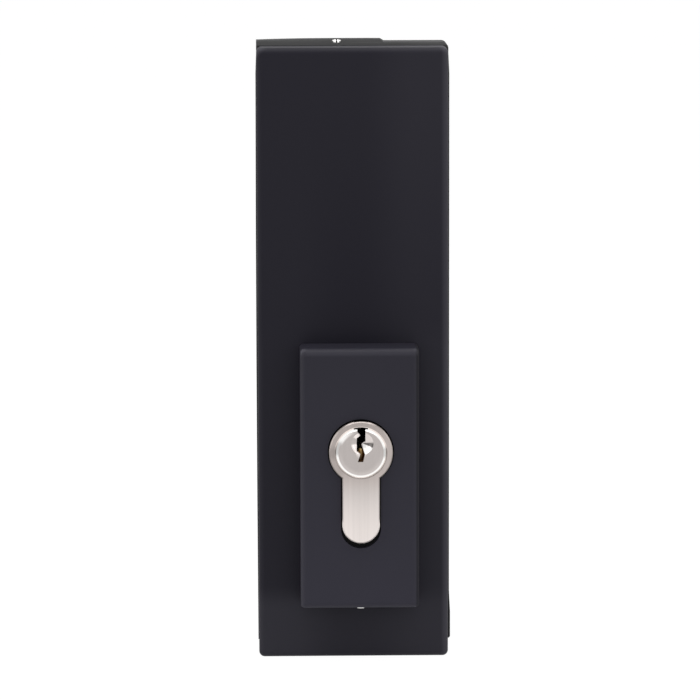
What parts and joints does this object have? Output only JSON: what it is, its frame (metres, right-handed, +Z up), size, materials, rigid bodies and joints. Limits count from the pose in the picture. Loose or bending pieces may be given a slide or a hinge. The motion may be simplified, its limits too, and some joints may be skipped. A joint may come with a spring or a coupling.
{
  "type": "glass door patch lock",
  "caption": "Patch lock that clamps on the edge of a glass door, with a key cylinder that drives a deadbolt out of its long side through gears.",
  "frame": {"origin": "on the face where the edge of the glass stops, at the middle of the glass's thickness and at half the height of the covers", "axes": "+X towards the side that the bolt leaves, +Y from the front cover to the rear cover, +Z up along the long side"},
  "size_m": [0.0524, 0.054, 0.1667],
  "materials": {
    "black_coat": "fine matt black powder coat",
    "cap_plastic": "matt black moulding",
    "satin_nickel": "satin nickel, brushed upright",
    "pin_brass": "turned brass",
    "zinc_steel": "bright zinc plate",
    "clamp_casting": "aluminium casting under black lacquer",
    "case_steel": "zinc-plated steel",
    "gear_steel": "machined steel",
    "spring_steel": "drawn spring steel",
    "gasket_rubber": "smooth black rubber",
    "packer_plastic": "black nylon strip"
  },
  "bodies": {
    "lock_body": {"front_cover": "black_coat", "rear_cover": "black_coat", "front_pad": "black_coat", "rear_pad": "black_coat", "forend": "black_coat", "end_cap": "cap_plastic", "cylinder_body": "satin_nickel", "driver_pins": "pin_brass", "chamber_plugs": "pin_brass", "pad_screws": "zinc_steel", "end_cap_screw": "zinc_steel", "clamp_screws": "zinc_steel", "case_lid_screws": "zinc_steel", "forend_screws": "zinc_steel", "cylinder_screw": "zinc_steel", "gear_axle": "zinc_steel", "front_clamp_plate": "clamp_casting", "rear_clamp_plate": "clamp_casting", "lock_case": "case_steel", "case_lid": "case_steel", "pin_springs": "spring_steel", "front_gasket": "gasket_rubber", "rear_gasket": "gasket_rubber", "glass_packer": "packer_plastic"},
    "key_drive": {"front_plug": "satin_nickel", "front_key_pins": "pin_brass", "front_circlip": "spring_steel", "clutch": "gear_steel", "cam_gear": "gear_steel"},
    "rear_drive": {"rear_plug": "satin_nickel", "rear_key_pins": "pin_brass", "rear_circlip": "spring_steel"},
    "gear": {"drive_wheel": "gear_steel", "bolt_pinion": "gear_steel"},
    "bolt": {"deadbolt": "case_steel"}
  },
  "joints": [
    {"name": "key_turn", "type": "hinge", "parent": "lock_body", "child": "key_drive", "pos_m": [0.0114, 0, -0.0246], "axis": [0, -1, 0], "range_deg": [0, 360]},
    {"name": "rear_key_turn", "type": "hinge", "parent": "lock_body", "child": "rear_drive", "pos_m": [0.0114, 0, -0.0246], "axis": [0, 1, 0], "range_deg": [0, 360]},
    {"name": "gear_turn", "type": "hinge", "parent": "lock_body", "child": "gear", "pos_m": [0.0169, 0, -0.00537], "axis": [0, 1, 0], "range_deg": [0, 193.9]},
    {"name": "bolt_slide", "type": "slide", "parent": "lock_body", "child": "bolt", "axis": [1, 0, 0], "range_m": [0, 0.01269]}
  ],
  "couplings": [
    {"joint": "key_turn", "follows": "bolt_slide", "rad_per_m": 495.24},
    {"joint": "gear_turn", "follows": "bolt_slide", "rad_per_m": 266.67}
  ]
}
